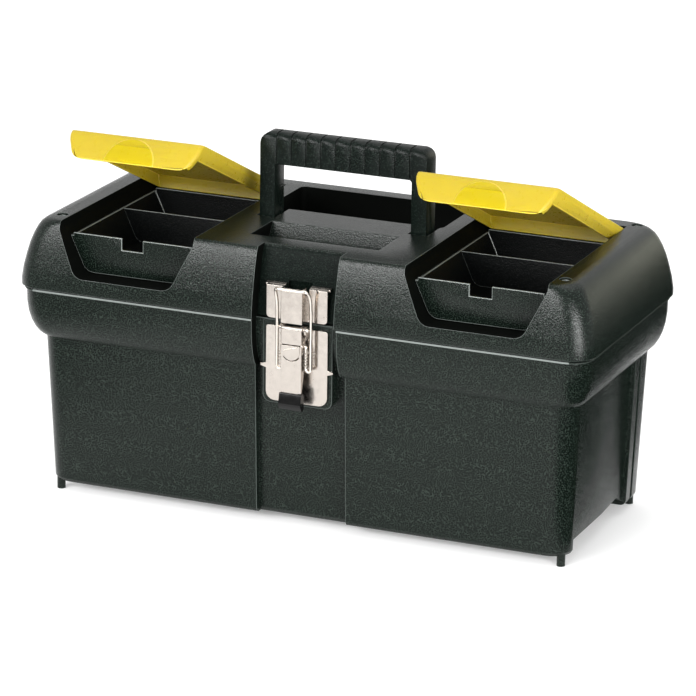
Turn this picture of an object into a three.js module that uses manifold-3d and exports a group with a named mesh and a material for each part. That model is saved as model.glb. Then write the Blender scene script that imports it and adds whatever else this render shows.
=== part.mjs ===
// A 400 mm moulded plastic tool box: a tub, a hinged lid with two organizer wells, a fold-down
// carrying handle, a steel draw latch and a lift-out tote tray. Millimetres, +Z up, +X along the
// length, -Y at the front. The origin is on the ground under the middle of the box.
import * as THREE from 'three';
import { mergeVertices } from 'three/addons/utils/BufferGeometryUtils.js';
import Module from 'manifold-3d';

const wasm = await Module();
wasm.setup();

// ---- driving dimensions -----------------------------------------------------------------------
const HALF_LENGTH = 200;          // lid half length at the seam
const HALF_DEPTH = 90;            // lid half depth at the seam
const TOP_Z = 190;                // flat top of the lid
const LID_BOTTOM_Z = 143.9;
const TUB_TOP_Z = 143.1;
const LID_WALL = 2.5;
const TUB_WALL = 2.6;
const CORNER_RADIUS = 16;         // plan radius of the lid's corners
const FAR = 260;                  // anything beyond the box, for cutters

const WELL_X = 121.5;             // middle of each organizer well
const WELL_HALF_TOP = 48;
const WELL_KNEE_Z = 185;          // the well's sides lean in below this height
const WELL_FLOOR_Z = 154.5;
const WELL_LEAN = 0.459;          // sideways run of a well side per mm of height
const WELL_BACK_Y = 67;
const WELL_WALL = 2.2;
const BIN_TOP_Z = 181;
const BIN_FRONT_Y = -73;
const BIN_BACK_Y = 53;
const BIN_WALL = 1.6;
const BIN_SIDE_RIM = { half: 42.7, z: 179.1 };   // the sides stop below the cover's flanges

const FOOT = { x: 178, y: 66, radius: 2.8, top: 9.2 };
const ARCH = { startX: 172, frontY: -60, backY: 27, endY: 42, topZ: 16.5, endZ: 9.5 };

const COVER_AXIS = { y: 61, z: 186 };
const COVER_REST_ANGLE = 24.5;    // degrees open at rest
const COVER_LIP_Z = 170.8;        // bottom edge of the closed cover's front lip
const COVER_FLANGE_Z = 179.5;     // bottom edge of the closed cover's side flanges
const COVER_WALL = 1.8;
const COVER_CLEARANCE = 0.4;
const THUMB_PAD = { radius: 17.5, proud: 0.5 };

const HANDLE_AXIS = { y: -2.5, z: 181 };
const HANDLE_HALF = 58.9;
const HANDLE_POST_INNER = 48.3;
const HANDLE_TOP_Z = 246.5;
const GRIP_BOTTOM_Z = 225.5;
const HANDLE_THICKNESS = 15.6;
const HANDLE_PIN_RADIUS = 2.5;
const BRIDGE_HALF = 46.8;         // the bridge between the two hand wells
const HANDLE_WELL_HALF = 62.5;
const HANDLE_SLOT_HALF = 60.4;

const HINGE_AXIS = { y: 89.6, z: 143.5 };
const HINGE_X = 112;
const HINGE_HALF_WIDTH = 28;
const KNUCKLE_RADIUS = 4.4;
const KNUCKLE_GAP = 0.2;           // half of the gap between two knuckles
const HINGE_PIN_RADIUS = 1.7;

const LEVER_AXIS = { y: -87, z: 140.3 };
const BAIL_AXIS = { y: -87, z: 129.4 };
const LATCH_PIN_RADIUS = 1.5;
const BAIL_WIRE_RADIUS = 1.1;
const BAIL_LEG_X = { inner: 8.4, outer: 11.8 };
const SPRING = { radius: 1.7, wire: 0.35, bottom: 115.2, top: 125.2, turns: 5 };
const SHEET = 1.1;                // thickness of the latch's steel
const STRIKE_FACE_Y = -83;
const STRIKE_Z = [144.6, 166.4];
const STRIKE_BOX = { half: 7.3, frontY: -91.5, z: [144.9, 168] };
const LATCH_PLATE = { half: 21.5, z: [89, 139.5], y: [-82.5, -81.3] };
const LEVER = { half: 7, frontY: -91.3, top: 143.2, bottom: 98.5, window: [113.5, 126.8] };
const PIN_PLAY = 0.3;             // radial clearance of every pin in its bore

const LEDGE_Z = 113;              // shelf inside the tub that carries the tray
const TRAY_FLOOR_Z = 72;

// ---- colours ----------------------------------------------------------------------------------
const BLACK_PLASTIC = { color: 0x1d2022, roughness: 0.55, metalness: 0 };
const DARK_PLASTIC = { color: 0x16181a, roughness: 0.5, metalness: 0 };
const YELLOW_PLASTIC = { color: 0xf2da2e, roughness: 0.45, metalness: 0 };
const NICKEL_STEEL = { color: 0xd9d2cb, roughness: 0.25, metalness: 1 };

// ---- solids -----------------------------------------------------------------------------------
function toSolid(geometry) {
  const bare = geometry.clone();
  bare.deleteAttribute('normal');
  bare.deleteAttribute('uv');
  const merged = mergeVertices(bare, 1e-4);
  return new wasm.Manifold(new wasm.Mesh({
    numProp: 3,
    vertProperties: new Float32Array(merged.attributes.position.array),
    triVerts: new Uint32Array(merged.index.array),
  }));
}

function toGeometry(solid) {
  const mesh = solid.getMesh();
  const geometry = new THREE.BufferGeometry();
  geometry.setAttribute('position', new THREE.BufferAttribute(new Float32Array(mesh.vertProperties), 3));
  geometry.setIndex(new THREE.BufferAttribute(new Uint32Array(mesh.triVerts), 1));
  geometry.computeVertexNormals();
  return geometry;
}

const union = (first, ...rest) => rest.reduce((sum, solid) => sum.add(solid), first);
const cut = (first, ...rest) => rest.reduce((sum, solid) => sum.subtract(solid), first);

function box(x, y, z) {
  const geometry = new THREE.BoxGeometry(x[1] - x[0], y[1] - y[0], z[1] - z[0]);
  geometry.translate((x[0] + x[1]) / 2, (y[0] + y[1]) / 2, (z[0] + z[1]) / 2);
  return toSolid(geometry);
}

function cylinderX(radius, x, axis, sides = 18) {
  const geometry = new THREE.CylinderGeometry(radius, radius, x[1] - x[0], sides);
  geometry.rotateZ(Math.PI / 2);
  geometry.translate((x[0] + x[1]) / 2, axis.y, axis.z);
  return toSolid(geometry);
}

function cylinderZ(radius, x, y, z, sides = 20) {
  const geometry = new THREE.CylinderGeometry(radius, radius, z[1] - z[0], sides);
  geometry.rotateX(Math.PI / 2);
  geometry.translate(x, y, (z[0] + z[1]) / 2);
  return toSolid(geometry);
}

// A polygon whose corners [x, y, radius] are rounded by arcs.
function roundedShape(corners, steps = 4) {
  const points = [];
  corners.forEach(([x, y, radius = 0], i) => {
    const corner = new THREE.Vector2(x, y);
    if (!radius) {
      points.push(corner);
      return;
    }
    const before = corners[(i + corners.length - 1) % corners.length];
    const after = corners[(i + 1) % corners.length];
    const back = new THREE.Vector2(before[0] - x, before[1] - y).normalize();
    const ahead = new THREE.Vector2(after[0] - x, after[1] - y).normalize();
    const half = Math.acos(back.dot(ahead)) / 2;
    const bisector = back.clone().add(ahead).normalize();
    const centre = corner.clone().addScaledVector(bisector, radius / Math.sin(half));
    const start = corner.clone().addScaledVector(back, radius / Math.tan(half)).sub(centre);
    const end = corner.clone().addScaledVector(ahead, radius / Math.tan(half)).sub(centre);
    const sweep = Math.atan2(start.x * end.y - start.y * end.x, start.dot(end));
    for (let k = 0; k <= steps; k += 1) {
      points.push(start.clone().rotateAround(new THREE.Vector2(), (sweep * k) / steps).add(centre));
    }
  });
  return new THREE.Shape(points);
}

function extrude(shape, length) {
  return new THREE.ExtrudeGeometry(shape, { depth: length, bevelEnabled: false, curveSegments: 8 });
}

// A shape drawn in (x, z), running along Y.
function prismAlongY(shape, y) {
  const geometry = extrude(shape, y[1] - y[0]);
  geometry.rotateX(Math.PI / 2);
  geometry.translate(0, y[1], 0);
  return toSolid(geometry);
}

// A shape drawn in (y, z), running along X.
function prismAlongX(shape, x) {
  const geometry = extrude(shape, x[1] - x[0]);
  geometry.rotateX(Math.PI / 2);
  geometry.rotateZ(Math.PI / 2);
  geometry.translate(x[0], 0, 0);
  return toSolid(geometry);
}

// A shape drawn in (x, y), running along Z.
function prismAlongZ(shape, z) {
  const geometry = extrude(shape, z[1] - z[0]);
  geometry.translate(0, 0, z[0]);
  return toSolid(geometry);
}

// A closed body through horizontal outlines that all have the same number of points.
function loft(sections) {
  const count = sections[0].points.length;
  const positions = [];
  const triangles = [];
  sections.forEach(({ z, points }) => points.forEach(([x, y]) => positions.push(x, y, z)));
  for (let s = 0; s < sections.length - 1; s += 1) {
    for (let i = 0; i < count; i += 1) {
      const a = s * count + i;
      const b = s * count + ((i + 1) % count);
      triangles.push(a, b, b + count, a, b + count, a + count);
    }
  }
  const bottomCentre = positions.length / 3;
  positions.push(0, 0, sections[0].z);
  const topCentre = bottomCentre + 1;
  positions.push(0, 0, sections[sections.length - 1].z);
  const top = (sections.length - 1) * count;
  for (let i = 0; i < count; i += 1) {
    const next = (i + 1) % count;
    triangles.push(bottomCentre, next, i, topCentre, top + i, top + next);
  }
  const geometry = new THREE.BufferGeometry();
  geometry.setAttribute('position', new THREE.Float32BufferAttribute(positions, 3));
  geometry.setIndex(triangles);
  return toSolid(geometry);
}

function sweepWire(points, radius, sides, steps) {
  const section = new THREE.Shape();
  section.absarc(0, 0, radius, 0, 2 * Math.PI);
  const path = new THREE.CatmullRomCurve3(points, false, 'centripetal');
  return new THREE.ExtrudeGeometry(section, { extrudePath: path, steps, curveSegments: sides / 2 });
}

// ---- the shells' outlines ---------------------------------------------------------------------
// Grooves down both ends of the tub, as [distance from the middle along Y, depth].
const END_GROOVES = [[-5, 0], [38, 2.6], [41, 2.6], [42.6, 0], [50, 0], [51, 2.2], [53, 2.2], [54.2, 0]];

// A rounded rectangle with its front middle stepped back, drawn inset from the outer surface.
function shellOutline({ halfX, halfY, radius, recessHalf, recessDepth, inset = 0, grooves = [] }) {
  const a = halfX - inset;
  const b = halfY - inset;
  const r = Math.max(radius - inset, 2);
  const steps = 6;
  const corner = (cx, cy, from) => Array.from({ length: steps + 1 }, (_, k) => {
    const angle = from + ((Math.PI / 2) * k) / steps;
    return [cx + r * Math.cos(angle), cy + r * Math.sin(angle)];
  });
  const perGroove = grooves.length / 2;
  const right = grooves.map(([y, depth], i) => {
    const opening = i % perGroove < perGroove / 2 ? -1 : 1;
    return [a - depth, y + opening * inset];
  });
  const left = [...right].reverse().map(([x, y]) => [-x, y]);
  const w = recessHalf + inset;
  return [
    ...corner(a - r, r - b, -Math.PI / 2), ...right, ...corner(a - r, b - r, 0),
    ...corner(r - a, b - r, Math.PI / 2), ...left, ...corner(r - a, r - b, Math.PI),
    [-w, -b], [-w, recessDepth - b], [w, recessDepth - b], [w, -b],
  ];
}

// The lid's sides: [height, how far the ends come in, how far front and back come in].
const LID_PROFILE = [
  [LID_BOTTOM_Z, 0.8, 0.8], [144.6, 0, 0], [149, 0, 0], [157, 1, 1], [165, 2.7, 2.5],
  [172, 4.5, 3.9], [178, 6.7, 5.4], [183, 9.2, 6.8], [186.4, 11.6, 7.9], [188.6, 14.6, 8.9],
  [189.6, 17.6, 9.7], [TOP_Z, 21, 10.6],
];

function lidSections(inset, recessDepth, shiftTop = 0) {
  return LID_PROFILE.map(([z, endIn, sideIn]) => ({
    z: z > 178 ? z - (shiftTop * (z - 178)) / (TOP_Z - 178) : z,
    points: shellOutline({
      halfX: HALF_LENGTH - endIn,
      halfY: HALF_DEPTH - sideIn,
      radius: CORNER_RADIUS - endIn / 10,
      recessHalf: 28.5,
      recessDepth,
      inset,
    }),
  }));
}

// The tub's sides: [height, half length, half depth, half width and depth of the front recess].
const TUB_PROFILE = [
  [6.5, 180.8, 70.2, 31.5, 4], [7.3, 182.4, 71.8, 31.5, 5], [9.5, 183.6, 73.1, 31.5, 5],
  [110, 187.4, 76.9, 31.5, 5],
];
const COLLAR_PROFILE = [
  [110, 189.8], [112, 191.6], [115.5, 193.5], [120, 195.1], [126, 196.4], [133, 197.1], [141.6, 197.2],
];
// A bead runs round the collar's top edge, just under the lid: [height, how far it stands out].
const RIM_BEAD = [[142, 0.9], [142.6, 0.9], [TUB_TOP_Z, 0.6]];
const COLLAR_HALF = 197.2;
const COLLAR_DIFFERENCE = 109.6;  // half length minus half depth all the way up the collar
const COLLAR_RECESS = { half: 29.5, depth: 7 };

function tubSection(z, halfX, halfY, recessHalf, recessDepth, inset) {
  const grooves = END_GROOVES.map(([y, depth]) => [y, z > 110 ? 0 : depth]);
  return { z, points: shellOutline({ halfX, halfY, radius: 13, recessHalf, recessDepth, inset, grooves }) };
}

function collarSection(z, halfX, inset, bead = 0) {
  return {
    z,
    points: shellOutline({
      halfX: halfX + bead,
      halfY: halfX + bead - COLLAR_DIFFERENCE,
      radius: 15,
      recessHalf: COLLAR_RECESS.half,
      recessDepth: COLLAR_RECESS.depth + bead,
      inset,
      grooves: END_GROOVES.map(([y]) => [y, 0]),
    }),
  };
}

// ---- tub --------------------------------------------------------------------------------------
function knuckle(side, from, to, radius) {
  return cylinderX(radius, [side * HINGE_X + from, side * HINGE_X + to], HINGE_AXIS);
}

// Spans of the knuckles along the hinge, from its middle: the tub has three and the lid has two.
const KNUCKLE_EDGES = [-28, -17, -5.5, 5.5, 17, 28];

function knuckleSpans(firstIndex) {
  const spans = [];
  for (let i = firstIndex; i < KNUCKLE_EDGES.length - 1; i += 2) {
    spans.push([KNUCKLE_EDGES[i] + KNUCKLE_GAP, KNUCKLE_EDGES[i + 1] - KNUCKLE_GAP]);
  }
  return spans;
}

function hingeLeaf(side, firstIndex, z) {
  return knuckleSpans(firstIndex).flatMap(([from, to]) => [
    knuckle(side, from, to, KNUCKLE_RADIUS),
    box([side * HINGE_X + from, side * HINGE_X + to], [85.4, HINGE_AXIS.y], z),
  ]);
}

function hingeRelief(side, firstIndex) {
  return knuckleSpans(firstIndex).map(([from, to]) => (
    knuckle(side, from - 0.4, to + 0.4, KNUCKLE_RADIUS + 0.5)
  ));
}

// A short peg under each corner of the tub.
function tubFeet() {
  return [[-1, -1], [-1, 1], [1, -1], [1, 1]].map(([sideX, sideY]) => (
    cylinderZ(FOOT.radius, sideX * FOOT.x, sideY * FOOT.y, [0, FOOT.top], 16)
  ));
}

// The bottom of each end wall is arched between the corner posts.
function endArch(side, margin) {
  const startX = ARCH.startX - margin;
  const top = ARCH.topZ + margin;
  return prismAlongX(roundedShape([
    [ARCH.frontY - margin, -20], [ARCH.frontY - margin, top], [ARCH.backY + margin, top],
    [ARCH.endY + margin, ARCH.endZ + margin], [ARCH.endY + margin, -20],
  ]), side > 0 ? [startX, FAR] : [-FAR, -startX]);
}

function latchBoss() {
  return prismAlongY(roundedShape([
    [-24.2, 142.6, 1], [-24.2, 87, 5], [24.2, 87, 5], [24.2, 142.6, 1],
  ], 4), [-80.9, -70]);
}

function baseTub() {
  const outer = loft([
    ...TUB_PROFILE.map(([z, a, b, w, d]) => tubSection(z, a, b, w, d, 0)),
    ...COLLAR_PROFILE.map(([z, a]) => collarSection(z, a, 0)),
    ...RIM_BEAD.map(([z, bead]) => collarSection(z, COLLAR_HALF, 0, bead)),
  ]);
  const cavity = loft([
    tubSection(9.4, 183.6, 73.1, 31.5, 5, TUB_WALL),
    tubSection(LEDGE_Z - 3, 187.4, 76.9, 31.5, 5, TUB_WALL),
    collarSection(LEDGE_Z - 2.9, 187.5, TUB_WALL),
    collarSection(LEDGE_Z, 187.6, TUB_WALL),
    collarSection(LEDGE_Z, 190.5, TUB_WALL),
    ...COLLAR_PROFILE.slice(3, -1).map(([z, a]) => collarSection(z, a, TUB_WALL)),
    collarSection(150, COLLAR_HALF, TUB_WALL),
  ]);
  const raisedFloor = union(endArch(1, TUB_WALL), endArch(-1, TUB_WALL));
  let tub = union(outer, latchBoss(), ...tubFeet());
  tub = cut(tub, cut(cavity, raisedFloor), endArch(1, 0), endArch(-1, 0));
  for (const side of [-1, 1]) {
    tub = cut(tub, ...hingeRelief(side, 1));
    tub = union(tub, ...hingeLeaf(side, 0, [136, 143]));
    tub = cut(tub, knuckle(side, -30, 30, HINGE_PIN_RADIUS + PIN_PLAY));
  }
  return tub;
}

// ---- lid --------------------------------------------------------------------------------------
// Cross-section of an organizer well, drawn inset from the well's own surface.
function wellShape(side, inset, floorZ = WELL_FLOOR_Z + inset, floorRadius = Math.max(9 - inset, 3)) {
  const x = side * WELL_X;
  const lean = (z) => WELL_HALF_TOP - WELL_LEAN * (WELL_KNEE_Z - z) - 1.1 * inset;
  const top = WELL_HALF_TOP - inset;
  const kneeZ = WELL_KNEE_Z + 0.218 * inset;
  const bottom = lean(floorZ);
  return roundedShape([
    [x - top, FAR], [x - top, kneeZ, 6], [x - bottom, floorZ, floorRadius],
    [x + bottom, floorZ, floorRadius], [x + top, kneeZ, 6], [x + top, FAR],
  ]);
}

function frontHandWell(wall) {
  return prismAlongX(roundedShape([
    [-56 - wall, FAR], [-56 - wall, 190], [-52 - wall * 0.9, 177 - wall, 4],
    [-27 + wall * 0.6, 177 - wall, 9], [-20.5 + wall, 190], [-20.5 + wall, FAR],
  ]), [-45 - wall, 45 + wall]);
}

// The rear hand well wraps round both ends of the bridge, so that the handle's posts fit beside it.
function rearHandWell(wall) {
  const wide = HANDLE_WELL_HALF + wall;
  const slot = HANDLE_SLOT_HALF + wall;
  const bridge = BRIDGE_HALF - wall;
  return prismAlongZ(roundedShape([
    [-slot, -12 - wall], [-bridge, -12 - wall], [-bridge, 10.5 - wall], [bridge, 10.5 - wall],
    [bridge, -12 - wall], [slot, -12 - wall], [slot, 9 - wall], [wide, 13 - wall], [wide, 68 + wall, 4],
    [-wide, 68 + wall, 4], [-wide, 13 - wall], [-slot, 9 - wall],
  ]), [169 - wall, FAR]);
}

// Straight-sided space at the back of a well, where the cover's rear edge turns down.
function hingePocket(side, margin) {
  const x = side * WELL_X;
  const half = WELL_HALF_TOP + margin;
  return box([x - half, x + half], [BIN_BACK_Y + 0.5 - margin, WELL_BACK_Y + margin], [177 - margin, FAR]);
}

const PLUG_PLACES = [
  ['front_left', -175.5, -66], ['front_right', 175.5, -66],
  ['rear_left', -174.5, 73], ['rear_right', 174.5, 73],
];

const STRIKE_PAD = { x: [-19, 19], z: [145.2, 164.8] };

function lidCavity() {
  const inside = loft([
    { ...lidSections(LID_WALL, 10)[1], z: 140 },
    ...lidSections(LID_WALL, 10, 2.6).filter((_, i) => i === 2 || (i > 2 && i % 2)),
  ]);
  const keep = [frontHandWell(2.4), rearHandWell(2.4)];
  for (const side of [-1, 1]) {
    keep.push(prismAlongY(wellShape(side, -WELL_WALL), [-FAR, WELL_BACK_Y + WELL_WALL]));
    keep.push(hingePocket(side, WELL_WALL));
  }
  PLUG_PLACES.forEach(([, x, y]) => keep.push(cylinderZ(6.2, x, y, [178, FAR])));
  keep.push(box(STRIKE_PAD.x, [-82, -70], [150, 172]));
  return cut(inside, ...keep);
}

function lidShell() {
  let lid = loft(lidSections(0, 10));
  const strikePad = box(STRIKE_PAD.x, [-81.6, -72], STRIKE_PAD.z);
  const hookPocket = box([-8.3, 8.3], [-FAR, -74.5], [160, 169]);
  lid = cut(union(cut(lid, lidCavity()), strikePad), hookPocket);
  for (const side of [-1, 1]) {
    const socketX = side * WELL_X;
    lid = cut(
      lid,
      prismAlongY(wellShape(side, 0), [-FAR, WELL_BACK_Y]),
      hingePocket(side, 0),
      cylinderX(2.7, [socketX - 51.5, socketX + 51.5], COVER_AXIS, 20),
      cylinderX(HANDLE_PIN_RADIUS + PIN_PLAY, side > 0 ? [40, 66] : [-66, -40], HANDLE_AXIS),
      ...hingeRelief(side, 0),
    );
  }
  lid = cut(lid, frontHandWell(0), rearHandWell(0));
  PLUG_PLACES.forEach(([, x, y]) => {
    lid = cut(lid, cylinderZ(3.9, x, y, [184, FAR]));
  });
  for (const side of [-1, 1]) {
    lid = union(lid, ...hingeLeaf(side, 1, [144, 152]));
    lid = cut(lid, knuckle(side, -30, 30, HINGE_PIN_RADIUS + PIN_PLAY));
  }
  return lid;
}

function cornerPlug(x, y) {
  const head = cylinderZ(3.5, x, y, [184.3, 189]);
  return cut(head, cylinderZ(2.1, x, y, [188.2, FAR], 16));
}

// ---- organizer bins, dividers and covers ------------------------------------------------------
const NOTCH = { half: 7.5, z: 173 };

function organizerBin(side) {
  const outer = prismAlongY(wellShape(side, 0.5), [BIN_FRONT_Y, BIN_BACK_Y]);
  const inner = prismAlongY(wellShape(side, 0.5 + BIN_WALL), [BIN_FRONT_Y + BIN_WALL, BIN_BACK_Y - BIN_WALL]);
  const x = side * WELL_X;
  const notch = box([x - NOTCH.half, x + NOTCH.half], [-FAR, BIN_FRONT_Y + BIN_WALL + 1], [NOTCH.z, FAR]);
  const sideTrim = (sign) => {
    const edge = x + sign * BIN_SIDE_RIM.half;
    return box(sign > 0 ? [edge, FAR] : [-FAR, edge], [-FAR, FAR], [BIN_SIDE_RIM.z, FAR]);
  };
  const topTrim = box([-FAR, FAR], [-FAR, FAR], [BIN_TOP_Z, FAR + 10]);
  return cut(outer, inner, notch, topTrim, sideTrim(-1), sideTrim(1));
}

function binDivider(side) {
  const plate = prismAlongY(wellShape(side, 0.9 + BIN_WALL), [1.2, 2.8]);
  return cut(plate, box([-FAR, FAR], [-FAR, FAR], [BIN_TOP_Z - 2, FAR + 10]));
}

// Keeps the cover's front corners, where its lip meets its side flanges, round.
function coverOutline(side) {
  return loft(LID_PROFILE.filter(([z]) => z > 160).map(([z, , sideIn]) => ({
    z,
    points: shellOutline({
      halfX: Math.min(WELL_HALF_TOP, WELL_HALF_TOP - WELL_LEAN * (WELL_KNEE_Z - z)) - COVER_CLEARANCE,
      halfY: HALF_DEPTH - sideIn,
      radius: 3.5,
      recessHalf: 5,
      recessDepth: 0,
    }),
  }))).translate([side * WELL_X, 0, 0]);
}

// A half-disc where the thumb lifts the cover, standing a little proud of the lip.
function thumbPad(x) {
  const halfDisc = new THREE.Shape();
  halfDisc.absarc(x, COVER_LIP_Z, THUMB_PAD.radius, 0, Math.PI);
  return prismAlongY(halfDisc, [-FAR, 0]).intersect(loft(lidSections(-THUMB_PAD.proud, 0)));
}

// The cover is drawn closed, where its outside is flush with the lid, then turned to rest open.
function organizerCover(side) {
  const x = side * WELL_X;
  const skin = loft(lidSections(0.05, 0));
  const underSkin = loft(lidSections(2, 0, 2));
  const outline = prismAlongY(wellShape(side, COVER_CLEARANCE, COVER_LIP_Z, 11), [-FAR, 64.6]);
  const blank = outline.intersect(skin).intersect(coverOutline(side));
  const hollow = wellShape(side, COVER_CLEARANCE + COVER_WALL, 140);
  const inside = prismAlongY(hollow, [-FAR, 62.6]).intersect(underSkin);
  const belowFlanges = box([x - 60, x + 60], [-79, 80], [140, COVER_FLANGE_Z]);
  const topTrim = box([x - 60, x + 60], [-FAR, FAR], [TOP_Z - 0.05, FAR]);
  const tab = box([x - 6.2, x + 6.2], [-84, -71.9], [174.5, 179.3]);
  const stubs = [
    cylinderX(2.4, [x - 49.8, x - 45.9], COVER_AXIS, 20),
    cylinderX(2.4, [x + 45.9, x + 49.8], COVER_AXIS, 20),
  ];
  return union(cut(union(blank, thumbPad(x)), inside, belowFlanges, topTrim), tab, ...stubs);
}

// ---- carrying handle --------------------------------------------------------------------------
const GROOVE_PITCH = 10.45;
const GROOVE_COUNT = 10;

function handleSide(inset) {
  const half = HANDLE_THICKNESS / 2 - inset;
  const { y, z } = HANDLE_AXIS;
  return roundedShape([
    [y - half, z - half, half - 0.01], [y + half, z - half, half - 0.01],
    [y + half, HANDLE_TOP_Z - inset, 4.5 - inset], [y - half, HANDLE_TOP_Z - inset, 4.5 - inset],
  ], 3);
}

function carryHandle() {
  const arch = prismAlongY(roundedShape([
    [-HANDLE_HALF, 170], [-HANDLE_POST_INNER, 170], [-HANDLE_POST_INNER, GRIP_BOTTOM_Z, 2],
    [HANDLE_POST_INNER, GRIP_BOTTOM_Z, 2], [HANDLE_POST_INNER, 170], [HANDLE_HALF, 170],
    [HANDLE_HALF, HANDLE_TOP_Z, 8], [-HANDLE_HALF, HANDLE_TOP_Z, 8],
  ], 6), [-40, 40]);
  let handle = prismAlongX(handleSide(0), [-80, 80]).intersect(arch);
  const core = prismAlongX(handleSide(0.8), [-80, 80]);
  for (let i = 0; i < GROOVE_COUNT; i += 1) {
    const x = (i - (GROOVE_COUNT - 1) / 2) * GROOVE_PITCH;
    handle = cut(handle, cut(box([x - 0.5, x + 0.5], [-40, 40], [GRIP_BOTTOM_Z + 0.8, FAR]), core));
  }
  return cut(handle, cylinderX(HANDLE_PIN_RADIUS + PIN_PLAY, [-80, 80], HANDLE_AXIS));
}

// ---- draw latch -------------------------------------------------------------------------------
const pinBore = () => cylinderX(LATCH_PIN_RADIUS + PIN_PLAY, [-12, 12], LEVER_AXIS, 16);

// A flat plate with its top edge bent back, and a hook box folded out of its middle.
function strikePlate() {
  const back = STRIKE_FACE_Y + SHEET;
  const [bottom, top] = STRIKE_Z;
  const outline = prismAlongY(roundedShape([
    [-21.2, bottom, 2.5], [21.2, bottom, 2.5], [21.2, FAR], [-21.2, FAR],
  ]), [-90, -70]);
  const face = prismAlongX(roundedShape([
    [STRIKE_FACE_Y, bottom], [back, bottom], [back, top - 1], [-78.6, top + 0.3], [-78.8, top + 1.5],
    [STRIKE_FACE_Y, top],
  ]), [-30, 30]).intersect(outline);
  const flange = prismAlongX(roundedShape([
    [-81, top - 0.5], [-78.6, top + 0.3], [-78.8, top + 1.5], [-81.2, top + 0.7],
  ]), [-22.4, 22.4]);
  const middleCut = box([-8.6, 8.6], [-84, -70], [162, 180]);
  const { half, frontY, z } = STRIKE_BOX;
  const walls = box([-half, half], [frontY, back], z);
  const hollow = box([SHEET - half, half - SHEET], [frontY + SHEET, STRIKE_FACE_Y], [140, 180]);
  return cut(union(face, flange, walls), middleCut, hollow);
}

function latchBasePlate() {
  const { half, z, y } = LATCH_PLATE;
  const lug = half + 3.8;
  const plate = prismAlongY(roundedShape([
    [-half, z[1], 1.5], [-half, 113.8], [-lug, 112.7], [-lug, 111.6], [-half, 110.4], [-half, z[0], 6],
    [half, z[0], 6], [half, 110.4], [lug, 111.6], [lug, 112.7], [half, 113.8], [half, z[1], 1.5],
  ]), y);
  const ear = roundedShape([
    [-82, 133], [-82, 139], [-83, 140], [-83, 142.9], [-89.6, 142.9, 2.6], [-89.6, 137.6, 2.6],
  ]);
  return cut(union(plate, prismAlongX(ear, [-9.2, -8]), prismAlongX(ear, [8, 9.2])), pinBore());
}

// The pressed tongue below the lever's slot: straight sides ending in a half circle, cut free below.
const TONGUE = { z: 126.4, radius: 6, gap: 0.8, cutAngle: THREE.MathUtils.degToRad(55) };

function leverTongue() {
  const shape = new THREE.Shape();
  shape.moveTo(-TONGUE.radius, 130);
  shape.absarc(0, TONGUE.z, TONGUE.radius, Math.PI, 2 * Math.PI);
  shape.lineTo(TONGUE.radius, 130);
  return prismAlongY(shape, [LEVER.frontY - 0.5, LEVER.frontY + 0.3]);
}

function tongueCut() {
  const start = 1.5 * Math.PI - TONGUE.cutAngle;
  const end = 1.5 * Math.PI + TONGUE.cutAngle;
  const shape = new THREE.Shape();
  shape.absarc(0, TONGUE.z, TONGUE.radius + TONGUE.gap, start, end);
  shape.absarc(0, TONGUE.z, TONGUE.radius, end, start, true);
  return prismAlongY(shape, [-95, -88]);
}

function latchLever() {
  const { half, frontY, top, bottom, window } = LEVER;
  const channel = prismAlongX(roundedShape([
    [frontY, top, 2.6], [-84.6, top - 0.2, 2], [-84.6, 124], [-87.6, 108], [-90.2, bottom], [frontY, bottom],
  ], 3), [-half, half]);
  const hollow = box([SHEET - half, half - SHEET], [frontY + SHEET, -80], [90, 150]);
  const springWindow = box([-8, 8], [frontY + SHEET, -80], window);
  const tipTongue = box([-5, 5], [frontY, frontY + SHEET], [92.2, bottom + 0.5]);
  const slot = box([-6.4, 6.4], [-95, -88], [130, 130.9]);
  return cut(
    union(cut(channel, hollow, springWindow), tipTongue, leverTongue()),
    slot,
    tongueCut(),
    pinBore(),
    cylinderX(BAIL_WIRE_RADIUS + PIN_PLAY, [-12, 12], BAIL_AXIS, 16),
  );
}

function latchLeverTip() {
  const body = prismAlongX(roundedShape([
    [-88.6, 98.2, 0.8], [-92.4, 98.2, 0.8], [-94, 90.6, 2.6], [-91.6, 86.4, 1.6], [-87.4, 87.4, 1.6],
  ], 4), [-7.7, 7.7]);
  return cut(body, box([-5.3, 5.3], [-91.6, -89.9], [91.9, 110]));
}

// Half of the bail, from the lever's side up to the middle of the rail.
function bailHalf(side) {
  const { y, z } = BAIL_AXIS;
  const { inner, outer } = BAIL_LEG_X;
  const turn = (outer - inner) / 2;
  const turnZ = 114.4;
  const points = [
    [6.1, y, z], [7, y, z], [8, y, z - 0.5], [inner, y, z - 1.8], [inner, y, 122], [inner, y, turnZ + 0.4],
  ];
  for (let k = 1; k < 6; k += 1) {
    const angle = Math.PI + (Math.PI * k) / 6;
    points.push([inner + turn + turn * Math.cos(angle), y, turnZ + turn * Math.sin(angle)]);
  }
  points.push([outer, y, turnZ + 0.4], [outer, y, 128], [outer, y, 142], [outer, y - 0.1, 153]);
  points.push(
    [outer, -87.5, 157.5], [11.7, -88.9, 161.6], [11.2, -90.7, 164.8], [9.7, -92.3, 166.7], [7, -92.9, 167.2],
  );
  return points.map(([px, py, pz]) => new THREE.Vector3(side * px, py, pz));
}

function latchBail() {
  return sweepWire([...bailHalf(-1), ...bailHalf(1).reverse()], BAIL_WIRE_RADIUS, 8, 72);
}

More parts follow.
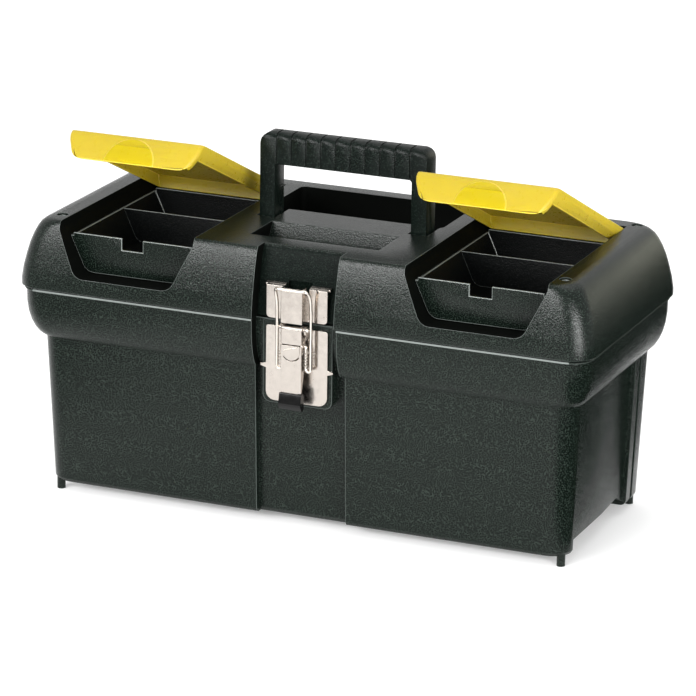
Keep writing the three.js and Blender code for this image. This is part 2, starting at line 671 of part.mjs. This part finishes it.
function bailSpring(side) {
  const { radius, wire, bottom, top, turns } = SPRING;
  const perTurn = 7;
  const steps = turns * perTurn;
  const points = Array.from({ length: steps + 1 }, (_, k) => {
    const angle = (2 * Math.PI * k) / perTurn;
    return new THREE.Vector3(
      side * BAIL_LEG_X.inner + radius * Math.cos(angle),
      BAIL_AXIS.y + radius * Math.sin(angle),
      bottom + ((top - bottom) * k) / steps,
    );
  });
  return sweepWire(points, wire, 4, steps);
}

// ---- tote tray --------------------------------------------------------------------------------
function trayOutline(halfX, halfY, z) {
  const options = { halfX, halfY, radius: 14, recessHalf: 36, recessDepth: halfY - 67 };
  return { z, points: shellOutline(options) };
}

function toteTray() {
  const body = loft([trayOutline(176.5, 68, TRAY_FLOOR_Z), trayOutline(179.6, 68.6, LEDGE_Z + 1)]);
  const rim = loft([trayOutline(187, 77.4, LEDGE_Z + 0.3), trayOutline(187, 77.4, LEDGE_Z + 2.8)]);
  const hollow = loft([
    trayOutline(174.4, 67.3, TRAY_FLOOR_Z + 2.2), trayOutline(177.6, 67.5, LEDGE_Z + 5),
  ]).intersect(box([-FAR, FAR], [-65, 66], [0, FAR]));
  const web = prismAlongY(roundedShape([
    [-178, 73], [178, 73], [178, 114], [72, 114, 20], [56, 142, 10],
    [-56, 142, 10], [-72, 114, 20], [-178, 114],
  ]), [-1.3, 1.3]);
  const grip = prismAlongY(roundedShape([
    [-46, 139, 2], [46, 139, 2], [46, 142.6, 1.6], [-46, 142.6, 1.6],
  ], 3), [-6, 6]);
  const fingers = prismAlongY(roundedShape([
    [-44, 116, 8], [44, 116, 8], [44, 136, 8], [-44, 136, 8],
  ]), [-20, 20]);
  const ribs = [-60, 60].map((x) => box([x - 1, x + 1], [-66, 0], [73, 104]));
  return union(cut(union(body, rim), hollow), cut(union(web, grip), fingers), ...ribs);
}

// ---- assembly ---------------------------------------------------------------------------------
const toolbox = new THREE.Group();

function add(name, shape, finish, parent = toolbox) {
  const geometry = shape.isBufferGeometry ? shape : toGeometry(shape);
  const mesh = new THREE.Mesh(geometry, new THREE.MeshStandardMaterial(finish));
  mesh.name = name;
  parent.add(mesh);
  return mesh;
}

function addCover(name, side) {
  const hinge = new THREE.Group();
  hinge.position.set(0, COVER_AXIS.y, COVER_AXIS.z);
  hinge.rotation.x = -THREE.MathUtils.degToRad(COVER_REST_ANGLE);
  const mesh = add(name, organizerCover(side), YELLOW_PLASTIC, hinge);
  mesh.position.set(0, -COVER_AXIS.y, -COVER_AXIS.z);
  toolbox.add(hinge);
}

add('base_tub', baseTub(), BLACK_PLASTIC);
add('lid_shell', lidShell(), BLACK_PLASTIC);
add('carry_handle', carryHandle(), BLACK_PLASTIC);
add('tote_tray', toteTray(), DARK_PLASTIC);
for (const [word, side] of [['left', -1], ['right', 1]]) {
  const hingeX = side * HINGE_X;
  const hingeSpan = [hingeX - HINGE_HALF_WIDTH, hingeX + HINGE_HALF_WIDTH];
  add(`${word}_organizer_bin`, organizerBin(side), DARK_PLASTIC);
  add(`${word}_bin_divider`, binDivider(side), DARK_PLASTIC);
  addCover(`${word}_organizer_cover`, side);
  add(`lid_hinge_pin_${word}`, cylinderX(HINGE_PIN_RADIUS, hingeSpan, HINGE_AXIS, 16), NICKEL_STEEL);
  const pinSpan = side > 0 ? [45, 64] : [-64, -45];
  add(`handle_pin_${word}`, cylinderX(HANDLE_PIN_RADIUS, pinSpan, HANDLE_AXIS, 20), NICKEL_STEEL);
  add(`bail_spring_${word}`, bailSpring(side), NICKEL_STEEL);
}
PLUG_PLACES.forEach(([word, x, y]) => add(`corner_plug_${word}`, cornerPlug(x, y), DARK_PLASTIC));
add('strike_plate', strikePlate(), NICKEL_STEEL);
add('latch_base_plate', latchBasePlate(), NICKEL_STEEL);
add('latch_pivot_pin', cylinderX(LATCH_PIN_RADIUS, [-10.2, 10.2], LEVER_AXIS, 16), NICKEL_STEEL);
add('latch_lever', latchLever(), NICKEL_STEEL);
add('latch_lever_tip', latchLeverTip(), DARK_PLASTIC);
add('latch_bail', latchBail(), NICKEL_STEEL);

export default toolbox;
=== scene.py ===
"""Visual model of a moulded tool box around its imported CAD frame."""
import math

import bpy
from mathutils import Matrix, Vector


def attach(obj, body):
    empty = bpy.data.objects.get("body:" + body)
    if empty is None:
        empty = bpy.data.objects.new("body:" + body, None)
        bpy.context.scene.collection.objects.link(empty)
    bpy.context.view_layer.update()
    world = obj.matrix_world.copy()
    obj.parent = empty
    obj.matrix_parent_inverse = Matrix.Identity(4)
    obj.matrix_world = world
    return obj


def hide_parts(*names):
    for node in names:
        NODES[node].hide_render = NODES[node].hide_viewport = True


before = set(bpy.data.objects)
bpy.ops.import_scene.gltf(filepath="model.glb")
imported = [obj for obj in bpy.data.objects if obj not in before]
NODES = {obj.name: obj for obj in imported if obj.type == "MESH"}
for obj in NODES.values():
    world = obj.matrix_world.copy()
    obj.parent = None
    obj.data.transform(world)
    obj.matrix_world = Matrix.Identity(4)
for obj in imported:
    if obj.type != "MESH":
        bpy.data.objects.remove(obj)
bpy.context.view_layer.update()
MM = 0.001

# ---- camera -------------------------------------------------------------------------------------
CAMERA_AZIMUTH = math.radians(22.73)
CAMERA_ELEVATION = math.radians(17.30)
CAMERA_DISTANCE = 2.67095
CAMERA_TARGET = Vector((0.00112, 0.0, 0.10313))
CAMERA_ROLL = math.radians(0.79)
CAMERA_LENS = 209.06
SENSOR_WIDTH = 36
CLIP_END = 50


def make_camera():
    """A camera turned about its own axis as well, as the photograph's is."""
    back = Vector((
        math.sin(CAMERA_AZIMUTH) * math.cos(CAMERA_ELEVATION),
        -math.cos(CAMERA_AZIMUTH) * math.cos(CAMERA_ELEVATION),
        math.sin(CAMERA_ELEVATION),
    ))
    level = Vector((0, 0, 1)).cross(back).normalized()
    upright = back.cross(level).normalized()
    right = level * math.cos(CAMERA_ROLL) + upright * math.sin(CAMERA_ROLL)
    up = upright * math.cos(CAMERA_ROLL) - level * math.sin(CAMERA_ROLL)
    data = bpy.data.cameras.new("camera")
    data.lens = CAMERA_LENS
    data.sensor_width = SENSOR_WIDTH
    data.clip_end = CLIP_END
    camera = bpy.data.objects.new("camera", data)
    bpy.context.scene.collection.objects.link(camera)
    place = CAMERA_TARGET + back * CAMERA_DISTANCE
    camera.matrix_world = Matrix((
        (right.x, up.x, back.x, place.x),
        (right.y, up.y, back.y, place.y),
        (right.z, up.z, back.z, place.z),
        (0, 0, 0, 1),
    ))
    bpy.context.scene.camera = camera


# ---- studio -------------------------------------------------------------------------------------
WORLD_STRENGTH = 0.74
FLOOR_WIDTH = 30
FLOOR_ALBEDO = 0.9
FLOOR_ROUGHNESS = 0.9
FLOOR_GLOW = 0.20
WHITE = (1, 1, 1)

# name, place, aim, (width, height), watts, colour
LIGHTS = (
    ("key", (-0.91, -2.18, 1.16), (0, 0, 0.16), (2.0, 0.70), 62, WHITE),
    ("right_strip", (1.97, -1.54, 0.54), (0.18, 0, 0.15), (1.35, 1.0), 62, WHITE),
    ("overhead", (0.1, 0.5, 2.4), (0, 0, 0.19), (2.4, 2.0), 20, WHITE),
    ("warm_panel", (0.98, 2.30, 0.45), (0.1, 0, 0.14), (1.6, 0.9), 1.7, (1.0, 0.96, 0.50)),
)

# name, place, (width, depth), tilt in degrees, albedo
CARDS = (
    ("end_card", (1.00, 1.30, 0.004), (1.6, 3.3), 0, 0.02),
    ("left_card", (-0.95, -0.42, 0.004), (1.4, 0.5), 0, 0.35),
    ("floor_card", (-0.80, -2.20, 0.003), (5.0, 2.9), 0, 0.22),
    ("room_card", (-0.80, -1.90, 0.26), (5.0, 0.52), 90, 0.20),
)


def area_light(name, place, aim, size, power, colour):
    data = bpy.data.lights.new(name, "AREA")
    data.shape = "RECTANGLE"
    data.size, data.size_y = size
    data.energy = power
    data.color = colour
    light = bpy.data.objects.new(name, data)
    light.location = place
    light.rotation_euler = (Vector(aim) - Vector(place)).to_track_quat("-Z", "Y").to_euler()
    bpy.context.scene.collection.objects.link(light)


def matte_sheet(name, place, size, tilt, albedo):
    """A flat matte sheet of the studio. Returns it and its shader."""
    bpy.ops.mesh.primitive_plane_add(size=1, location=place, rotation=(math.radians(tilt), 0, 0))
    sheet = bpy.context.object
    sheet.name = name
    sheet.scale = (*size, 1)
    material = bpy.data.materials.new(name)
    material.use_nodes = True
    shader = material.node_tree.nodes["Principled BSDF"]
    shader.inputs["Base Color"].default_value = (albedo, albedo, albedo, 1)
    shader.inputs["Specular IOR Level"].default_value = 0.0
    sheet.data.materials.append(material)
    return sheet, shader


def make_floor():
    _, shader = matte_sheet("floor", (0, 0, 0), (FLOOR_WIDTH, FLOOR_WIDTH), 0, FLOOR_ALBEDO)
    shader.inputs["Roughness"].default_value = FLOOR_ROUGHNESS
    shader.inputs["Emission Color"].default_value = (*WHITE, 1)
    shader.inputs["Emission Strength"].default_value = FLOOR_GLOW


def make_card(*values):
    """A card seen only in reflections: the darker room around the white paper."""
    card, _ = matte_sheet(*values)
    card.visible_camera = False
    card.visible_diffuse = False
    card.visible_shadow = False


def make_studio():
    world = bpy.data.worlds.new("studio")
    bpy.context.scene.world = world
    world.use_nodes = True
    background = world.node_tree.nodes["Background"]
    background.inputs["Color"].default_value = (*WHITE, 1)
    background.inputs["Strength"].default_value = WORLD_STRENGTH
    for values in LIGHTS:
        area_light(*values)
    make_floor()
    for values in CARDS:
        make_card(*values)
    bpy.context.scene.view_settings.view_transform = "Standard"


# ---- materials ----------------------------------------------------------------------------------
# Noise scales per metre, so 1000 gives features of about a millimetre.
SPECKLE_SCALE = 1300
GRAIN_SCALE = 1250
FINE_GRAIN_SCALE = 2600
PATCH_SCALE = 28
POLISH_SCALE = 240
TINT_SCALE = 40
SHEEN_SCALE = 300
RIPPLE_SCALE = 900
SMEAR_SCALE = 60
SCRATCH_SCALE = 220
DENT_SCALE = 120
SMEAR_STRETCH = (1, 1, 0.15)

GRAIN_DEPTH = 0.9 * MM
FINE_GRAIN_DEPTH = 0.3 * MM
RIPPLE_DEPTH = 0.2 * MM
DENT_DEPTH = 0.3 * MM
EDGE_WIDTH = 0.7 * MM
EDGE_RADIUS = 0.5 * MM
SHEET_EDGE_RADIUS = 0.35 * MM

YELLOW_SPECULAR = 0.2
YELLOW_ROUGHNESS = (0.26, 0.36)
GLOW_WEIGHT = 0.6
GLOW_RADIUS = (1.0, 0.7, 0.05)
GLOW_DEPTH = 3.5 * MM

# The noise values between which a surface goes from one look to the other.
SPECKLE_BAND = (0.54, 0.66)
GLOSS_BAND = (0.3, 0.7)
# The occlusion of an open face and of an edge, from inside the piece.
OPEN_TO_EDGE = (0.9, 0.6)
# The colour sockets of a Mix node, whose names are those of its number sockets too.
MIX_FIRST, MIX_SECOND, MIX_RESULT = 6, 7, 2


class Graph:
    """A Principled material and short names for the nodes that drive it."""

    def __init__(self, name):
        self.material = bpy.data.materials.new(name)
        self.material.use_nodes = True
        self.tree = self.material.node_tree
        self.shader = self.tree.nodes["Principled BSDF"]
        self.place = self.node("ShaderNodeTexCoord").outputs["Object"]

    def node(self, kind, **values):
        made = self.tree.nodes.new(kind)
        for key, value in values.items():
            setattr(made, key, value)
        return made

    def link(self, source, target):
        self.tree.links.new(source, target)

    def drive(self, socket, source):
        """Feeds a node's output to a socket of the shader."""
        self.link(source, self.shader.inputs[socket])

    def fix(self, socket, value):
        """Gives a socket of the shader one value all over."""
        self.shader.inputs[socket].default_value = value

    def noise(self, scale, detail, roughness=0.5, stretch=None):
        made = self.node("ShaderNodeTexNoise")
        made.inputs["Scale"].default_value = scale
        made.inputs["Detail"].default_value = detail
        made.inputs["Roughness"].default_value = roughness
        if stretch:
            mapping = self.node("ShaderNodeMapping")
            mapping.inputs["Scale"].default_value = stretch
            self.link(self.place, mapping.inputs["Vector"])
            self.link(mapping.outputs["Vector"], made.inputs["Vector"])
        else:
            self.link(self.place, made.inputs["Vector"])
        return made.outputs["Fac"]

    def ramp(self, source, low, high, start, end):
        made = self.node("ShaderNodeMapRange")
        made.inputs["From Min"].default_value = low
        made.inputs["From Max"].default_value = high
        made.inputs["To Min"].default_value = start
        made.inputs["To Max"].default_value = end
        self.link(source, made.inputs["Value"])
        return made.outputs["Result"]

    def blend(self, factor, first, second):
        """Goes from `first` to `second`, each a colour or a node's output, as `factor` rises."""
        made = self.node("ShaderNodeMix", data_type="RGBA")
        self.link(factor, made.inputs["Factor"])
        for index, value in ((MIX_FIRST, first), (MIX_SECOND, second)):
            if isinstance(value, tuple):
                made.inputs[index].default_value = (*value, 1)
            else:
                self.link(value, made.inputs[index])
        return made.outputs[MIX_RESULT]

    def vary_roughness(self, source, low, high):
        self.drive("Roughness", self.ramp(source, *GLOSS_BAND, low, high))

    def outer_edge(self, width):
        """1 along outward edges and 0 elsewhere, `width` metres to each side."""
        made = self.node("ShaderNodeAmbientOcclusion", samples=12, inside=True, only_local=True)
        made.inputs["Distance"].default_value = width
        return self.ramp(made.outputs["AO"], *OPEN_TO_EDGE, 0.0, 1.0)

    def rounding(self, radius):
        made = self.node("ShaderNodeBevel", samples=6)
        made.inputs["Radius"].default_value = radius
        return made.outputs["Normal"]

    def bump(self, height, strength, distance, after=None):
        made = self.node("ShaderNodeBump")
        made.inputs["Strength"].default_value = strength
        made.inputs["Distance"].default_value = distance
        self.link(height, made.inputs["Height"])
        if after is not None:
            self.link(after, made.inputs["Normal"])
        return made.outputs["Normal"]


def grained_plastic(name, dark, light, roughness, grain, specular, rim=None):
    """Moulded polypropylene with a spark-eroded grain of `grain` strength.

    `rim` is the colour of a painted highlight along outer edges.
    """
    graph = Graph(name)
    speckle = graph.ramp(graph.noise(SPECKLE_SCALE, 2), *SPECKLE_BAND, 0.0, 1.0)
    colour = graph.blend(speckle, dark, light)
    graph.vary_roughness(graph.noise(PATCH_SCALE, 3), roughness - 0.04, roughness + 0.05)
    graph.fix("Specular IOR Level", specular)
    soft = None
    if rim:
        # outer edges get a lighter colour: a painted highlight
        colour = graph.blend(graph.outer_edge(EDGE_WIDTH), colour, rim)
        soft = graph.rounding(EDGE_RADIUS)
    graph.drive("Base Color", colour)
    coarse = graph.bump(graph.noise(GRAIN_SCALE, 1), grain, GRAIN_DEPTH, soft)
    fine = graph.bump(graph.noise(FINE_GRAIN_SCALE, 1), grain * 0.5, FINE_GRAIN_DEPTH, coarse)
    graph.drive("Normal", fine)
    return graph.material


def smooth_plastic(name, colour, roughness, specular):
    """The same plastic, smooth: light for a painted highlight on edges and rims, near black for painted
    shade on deep walls.
    """
    graph = Graph(name)
    polish = graph.noise(POLISH_SCALE, 2)
    darker = tuple(channel * 0.8 for channel in colour)
    graph.drive("Base Color", graph.blend(polish, darker, colour))
    graph.vary_roughness(polish, roughness - 0.03, roughness + 0.03)
    graph.fix("Specular IOR Level", specular)
    return graph.material


def yellow_plastic(name, dark, light):
    """Glossy plastic that lets a little light through."""
    graph = Graph(name)
    graph.drive("Base Color", graph.blend(graph.noise(TINT_SCALE, 2), dark, light))
    graph.vary_roughness(graph.noise(SHEEN_SCALE, 2), *YELLOW_ROUGHNESS)
    graph.drive("Normal", graph.bump(graph.noise(RIPPLE_SCALE, 1), 0.05, RIPPLE_DEPTH))
    graph.fix("Specular IOR Level", YELLOW_SPECULAR)
    graph.fix("Subsurface Weight", GLOW_WEIGHT)
    graph.fix("Subsurface Radius", GLOW_RADIUS)
    graph.fix("Subsurface Scale", GLOW_DEPTH)
    return graph.material


def nickel_steel(name, dark, light, roughness, rounding=0.0):
    """Bright plate, with lengthwise smears. `rounding` softens the edges of sheet pieces."""
    graph = Graph(name)
    smear = graph.noise(SMEAR_SCALE, 3, 0.6, SMEAR_STRETCH)
    graph.drive("Base Color", graph.blend(smear, dark, light))
    graph.fix("Metallic", 1.0)
    graph.vary_roughness(graph.noise(SCRATCH_SCALE, 3), roughness - 0.06, roughness + 0.08)
    soft = graph.rounding(rounding) if rounding else None
    graph.drive("Normal", graph.bump(graph.noise(DENT_SCALE, 2), 0.08, DENT_DEPTH, soft))
    return graph.material


# ---- carried-over CAD pieces --------------------------------------------------------------------
WELD_DISTANCE = 0.02 * MM
# In degrees: the bend up to which facets are one face, and above which an edge is rounded or sharp.
FLAT_ANGLE = 0.6
BEVEL_ANGLE = 38
BEVEL_SEGMENTS = 2
CREASE_ANGLE = 28


def set_finishes(node, finishes):
    """Gives a CAD node its material slots, all its faces the first one, and joins its facets."""
    piece = NODES[node]
    piece.data.materials.clear()
    for material in finishes:
        piece.data.materials.append(material)
    for polygon in piece.data.polygons:
        polygon.use_smooth = True
        polygon.material_index = 0
    weld = piece.modifiers.new("weld", "WELD")
    weld.merge_threshold = WELD_DISTANCE
    return piece


def refine(node, *finishes, bevel=0.0, edge_index=1):
    """Rounds a CAD node's edges by `bevel` mm. The rounded edges get finish number `edge_index`."""
    piece = set_finishes(node, finishes)
    flat = piece.modifiers.new("flat", "DECIMATE")
    flat.decimate_type = "DISSOLVE"
    flat.angle_limit = math.radians(FLAT_ANGLE)
    flat.delimit = {"MATERIAL"}
    if bevel:
        round_edges = piece.modifiers.new("round_edges", "BEVEL")
        round_edges.width = bevel * MM
        round_edges.segments = BEVEL_SEGMENTS
        round_edges.limit_method = "ANGLE"
        round_edges.angle_limit = math.radians(BEVEL_ANGLE)
        round_edges.use_clamp_overlap = False
        round_edges.harden_normals = True
        round_edges.material = edge_index


def crease_group():
    """Geometry nodes that shade smoothly over shallow edges and keep the steep ones sharp."""
    group = bpy.data.node_groups.new("crease_by_angle", "GeometryNodeTree")
    group.interface.new_socket("Geometry", in_out="INPUT", socket_type="NodeSocketGeometry")
    group.interface.new_socket("Geometry", in_out="OUTPUT", socket_type="NodeSocketGeometry")
    entry = group.nodes.new("NodeGroupInput")
    leave = group.nodes.new("NodeGroupOutput")
    angle = group.nodes.new("GeometryNodeInputMeshEdgeAngle")
    steep = group.nodes.new("FunctionNodeCompare")
    steep.operation = "GREATER_THAN"
    steep.inputs[1].default_value = math.radians(CREASE_ANGLE)
    smooth = group.nodes.new("GeometryNodeSetShadeSmooth")
    sharp = group.nodes.new("GeometryNodeSetShadeSmooth")
    sharp.domain = "EDGE"
    sharp.inputs["Shade Smooth"].default_value = False
    group.links.new(entry.outputs[0], smooth.inputs["Geometry"])
    group.links.new(smooth.outputs["Geometry"], sharp.inputs["Geometry"])
    group.links.new(angle.outputs["Unsigned Angle"], steep.inputs[0])
    group.links.new(steep.outputs["Result"], sharp.inputs["Selection"])
    group.links.new(sharp.outputs["Geometry"], leave.inputs[0])
    return group


def crease(node, *finishes):
    """Shades a CAD node by its edge angles. The tub's and lid's finishes round the sharp edges."""
    piece = set_finishes(node, finishes)
    shading = piece.modifiers.new("crease", "NODES")
    shading.node_group = CREASES


def plain(node, finish):
    """Folded sheet steel: flat faces, its edges rounded by the finish itself."""
    piece = NODES[node]
    piece.data.materials.clear()
    piece.data.materials.append(finish)
    for polygon in piece.data.polygons:
        polygon.use_smooth = False


def paint(node, index, test):
    """Gives material `index` to the polygons of a CAD node whose centre (in mm) and normal pass `test`."""
    for polygon in NODES[node].data.polygons:
        centre = polygon.center / MM
        if test(centre, polygon.normal):
            polygon.material_index = index


# ---- regions of the CAD nodes -------------------------------------------------------------------
# Half width, then front and rear, then bottom and top, in mm.
REAR_WELL = (62.6, -12.1, 68.1, 168, 189.5)
FRONT_WELL = (45.2, -56.2, -26, 176, 189.5)
ORGANIZER_WELL = (48.2, -80, 67.2, 154, 189.5)
LATCH_POCKET = (8.5, -81, -74.3, 159.9, 169.2)

ORGANIZER_MIDDLE = 121.5
BEAD_BOTTOM = 141.7
BEAD_TOP = 143.05
COLLAR_FACE = 87.9
LATCH_RECESS_INNER = 27.5
LATCH_RECESS_HALF = 28.6
LATCH_RECESS_OUTER = 29.8
BOX_FRONT = -70
BIN_FRONT = -72.8
GRIP_BOTTOM = 226
GRIP_HALF = 50


def within(centre, region, middle=0.0):
    half_width, front, rear, bottom, top = region
    across = abs(abs(centre.x) - middle)
    return across < half_width and front < centre.y < rear and bottom < centre.z < top


def on_bead(centre, normal):
    """The rounded bead along the top of the tub's collar."""
    outside = abs(centre.y) > COLLAR_FACE and -0.2 < normal.z < 0.9
    return outside and BEAD_BOTTOM < centre.z < BEAD_TOP


def on_recess_wall(centre, normal):
    """The two side walls of the latch's recess, in the lid and in the tub."""
    beside = LATCH_RECESS_INNER < abs(centre.x) < LATCH_RECESS_OUTER
    return beside and centre.y < BOX_FRONT and abs(normal.x) > 0.9


def deep_in_lid(centre, normal):
    """The wells, the latch's pocket and the recess walls, which get painted shade."""
    if within(centre, FRONT_WELL):
        return normal.y > -0.5
    deep = within(centre, REAR_WELL) or within(centre, ORGANIZER_WELL, ORGANIZER_MIDDLE)
    return deep or within(centre, LATCH_POCKET) or on_recess_wall(centre, normal)


def on_recess_face(centre, normal):
    return abs(centre.x) < LATCH_RECESS_HALF and centre.y < BOX_FRONT and normal.y < -0.8


def inside_bin(centre, normal):
    return centre.y > BIN_FRONT


def in_grip_groove(centre, normal):
    return centre.z > GRIP_BOTTOM and abs(normal.x) > 0.9 and abs(centre.x) < GRIP_HALF


COVER_HINGE = Vector((0, 61, 186))
COVER_REST = math.radians(24.5)
PAD_RADIUS = 17.5
PAD_FRONT = -78
COVER_LIP_Z = 170.8


def on_thumb_pad(middle):
    """Returns the test for the half disc on the lip of the cover whose middle is at x `middle`."""
    close = Matrix.Rotation(COVER_REST, 3, "X")

    def test(centre, normal):
        closed = COVER_HINGE + close @ (centre - COVER_HINGE)
        facing = (close @ normal).y < -0.4 and closed.y < PAD_FRONT
        return facing and math.hypot(closed.x - middle, closed.z - COVER_LIP_Z) < PAD_RADIUS

    return test


# ---- wire pieces --------------------------------------------------------------------------------
# In mm, all as in the CAD pieces that the wires stand for.
BAIL_AXIS = (-87.0, 129.4)
BAIL_RADIUS = 1.1
LEG_INNER = 8.4
LEG_OUTER = 11.8
TURN_Z = 114.4
TURN_STEPS = 6
TURN_SPREAD = 1.06
RAIL_Y = -92.9
RAIL_Z = 167.2
SPRING_COIL_RADIUS = 1.7
SPRING_WIRE_RADIUS = 0.36
SPRING_BOTTOM = 115.2
SPRING_LENGTH = 10.0
SPRING_TURNS = 5
STEPS_PER_TURN = 14
ROUND_RESOLUTION = 5
LENGTH_RESOLUTION = 6


def wire(name, node, points, radius, finish):
    """A smooth round wire through `points` (mm) that stands for a faceted CAD node."""
    data = bpy.data.curves.new(name, "CURVE")
    data.dimensions = "3D"
    data.bevel_depth = radius * MM
    data.bevel_resolution = ROUND_RESOLUTION
    data.use_fill_caps = True
    data.resolution_u = LENGTH_RESOLUTION
    spline = data.splines.new("NURBS")
    spline.points.add(len(points) - 1)
    for point, place in zip(spline.points, points):
        point.co = (*(c * MM for c in place), 1)
    spline.use_endpoint_u = True
    spline.order_u = 4
    made = bpy.data.objects.new(name, data)
    bpy.context.scene.collection.objects.link(made)
    data.materials.append(finish)
    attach(made, "bail")
    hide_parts(node)


def bail_turn(y):
    """The hairpin at the lower end of a leg. Its points lie a little outside, as the curve cuts in."""
    middle = (LEG_INNER + LEG_OUTER) / 2
    reach = (LEG_OUTER - LEG_INNER) / 2 * TURN_SPREAD
    points = []
    for k in range(TURN_STEPS + 1):
        angle = math.pi + math.pi * k / TURN_STEPS
        points.append((middle + reach * math.cos(angle), y, TURN_Z + reach * math.sin(angle)))
    return points


def bail_half(side):
    """Half the bail: from its eye in the lever down, round the hairpin, up the leg and along the rail."""
    y, z = BAIL_AXIS
    eye = [(6.1, y, z), (7.2, y, z), (8.2, y, z - 0.1), (LEG_INNER, y, z - 1.2)]
    down = [(LEG_INNER, y, level) for level in (124, 119, TURN_Z + 0.6)]
    up = [(LEG_OUTER, y, level) for level in (TURN_Z + 0.6, 119, 130, 142, 152)]
    shoulder = [(LEG_OUTER, y - 0.3, 157.5), (LEG_OUTER, -88.9, 162.4), (11.6, -91.0, 166.2)]
    rail = [(9.6, RAIL_Y, RAIL_Z + 0.6), (6.0, RAIL_Y, RAIL_Z), (2.5, RAIL_Y, RAIL_Z)]
    points = eye + down + bail_turn(y) + up + shoulder + rail
    return [(side * px, py, pz) for px, py, pz in points]


def bail_spring(side):
    """The coil spring round the inner leg of the bail."""
    steps = SPRING_TURNS * STEPS_PER_TURN
    points = []
    for k in range(steps + 1):
        angle = 2 * math.pi * k / STEPS_PER_TURN
        x = side * LEG_INNER + SPRING_COIL_RADIUS * math.cos(angle)
        y = BAIL_AXIS[0] + SPRING_COIL_RADIUS * math.sin(angle)
        points.append((x, y, SPRING_BOTTOM + SPRING_LENGTH * k / steps))
    return points


# ---- finishes -----------------------------------------------------------------------------------
make_camera()
make_studio()
CREASES = crease_group()
# The lighter colour of a painted highlight along the outer edges of the lid and tub.
RIM_HIGHLIGHT = (0.07, 0.082, 0.076)
POLYPROPYLENE = ((0.0026, 0.0051, 0.0036), (0.021, 0.030, 0.024))

# name, dark and light of the speckle, roughness, strength of the grain, specular level, painted edge
# highlight
BLACK = grained_plastic("black_plastic", *POLYPROPYLENE, 0.19, 0.24, 0.26)
LID = grained_plastic("lid_plastic", *POLYPROPYLENE, 0.19, 0.24, 0.26, RIM_HIGHLIGHT)
TUB = grained_plastic("tub_plastic", *POLYPROPYLENE, 0.20, 0.24, 0.20, RIM_HIGHLIGHT)
PANEL = grained_plastic("panel_plastic", (0.002, 0.0042, 0.0032), (0.014, 0.021, 0.017), 0.28, 0.22, 0.14)
# Darker than the lid plastic: painted shade on the recessed face around the latch.
RECESS = grained_plastic("recess_plastic", (0.002, 0.0040, 0.0030), (0.011, 0.017, 0.0135), 0.34, 0.22, 0.04)
# Darker than the black plastic: painted shade, for the bins' insides and for the tray and dividers that sit
# down in them and in the tub.
DARK = grained_plastic("dark_plastic", (0.0015, 0.002, 0.002), (0.006, 0.007, 0.007), 0.40, 0.4, 0.12)

# name, colour, roughness, specular level
# A light colour: a painted highlight on bevelled edges and on the collar's bead.
EDGE = smooth_plastic("painted_edge_highlight", (0.16, 0.18, 0.17), 0.24, 0.7)
# Near black: painted shade for deep walls, wells, the latch's pocket and the grip's grooves.
DEEP_SHADE = smooth_plastic("deep_wall_shade", (0.002, 0.0025, 0.002), 0.6, 0.04)
GLOSS = smooth_plastic("glossy_tip", (0.004, 0.004, 0.004), 0.16, 0.25)

# name, dark and light of the cloudiness
YELLOW = yellow_plastic("yellow_plastic", (0.395, 0.300, 0.019), (0.425, 0.324, 0.026))
PAD = yellow_plastic("yellow_pad", (0.400, 0.308, 0.002), (0.428, 0.330, 0.004))
# Paler yellow: a painted highlight on the covers' rounded edges.
YELLOW_EDGE_HIGHLIGHT = yellow_plastic("yellow_edge_highlight", (0.56, 0.44, 0.05), (0.60, 0.475, 0.065))

# name, dark and light of the smears, roughness, edge rounding
NICKEL = nickel_steel("nickel_steel", (0.465, 0.423, 0.383), (0.545, 0.50, 0.458), 0.20, SHEET_EDGE_RADIUS)
BRIGHT = nickel_steel("nickel_bright", (0.70, 0.66, 0.61), (0.80, 0.76, 0.72), 0.16)
COIL = nickel_steel("spring_steel", (0.40, 0.37, 0.33), (0.52, 0.48, 0.44), 0.22)
WIRE = nickel_steel("nickel_wire", (0.66, 0.61, 0.55), (0.78, 0.73, 0.67), 0.12)


# ---- dressing -----------------------------------------------------------------------------------
def dress_shells():
    crease("base_tub", TUB, EDGE, DEEP_SHADE)
    # The collar's bead gets the painted edge highlight.
    paint("base_tub", 1, on_bead)
    # The tub's recess side walls get painted shade.
    paint("base_tub", 2, on_recess_wall)
    crease("lid_shell", LID, EDGE, DEEP_SHADE, RECESS)
    paint("lid_shell", 2, deep_in_lid)
    # The recessed face around the latch gets painted shade.
    paint("lid_shell", 3, on_recess_face)
    refine("carry_handle", PANEL, DEEP_SHADE, bevel=0.2, edge_index=0)
    # The grip's grooves get painted shade.
    paint("carry_handle", 1, in_grip_groove)
    crease("latch_lever_tip", GLOSS)


def dress_small_nodes():
    for name in NODES:
        if name == "tote_tray" or "divider" in name:
            refine(name, DARK, EDGE, bevel=0.3)
        elif "organizer_bin" in name:
            refine(name, BLACK, EDGE, DARK, bevel=0.5)
            # The bins' insides get painted shade.
            paint(name, 2, inside_bin)
        elif "corner_plug" in name:
            refine(name, BLACK, EDGE, bevel=0.3)
        elif name in ("strike_plate", "latch_base_plate", "latch_lever"):
            plain(name, NICKEL)
        elif "pin" in name:
            refine(name, BRIGHT)


def dress_pairs():
    for word, side in (("left", -1), ("right", 1)):
        cover = f"{word}_organizer_cover"
        refine(cover, YELLOW, YELLOW_EDGE_HIGHLIGHT, PAD, bevel=0.4)
        paint(cover, 2, on_thumb_pad(side * ORGANIZER_MIDDLE))
        spring = bail_spring(side)
        wire(f"spring_wire_{word}", f"bail_spring_{word}", spring, SPRING_WIRE_RADIUS, COIL)


dress_shells()
dress_small_nodes()
dress_pairs()
wire("bail_wire", "latch_bail", bail_half(-1) + bail_half(1)[::-1], BAIL_RADIUS, WIRE)
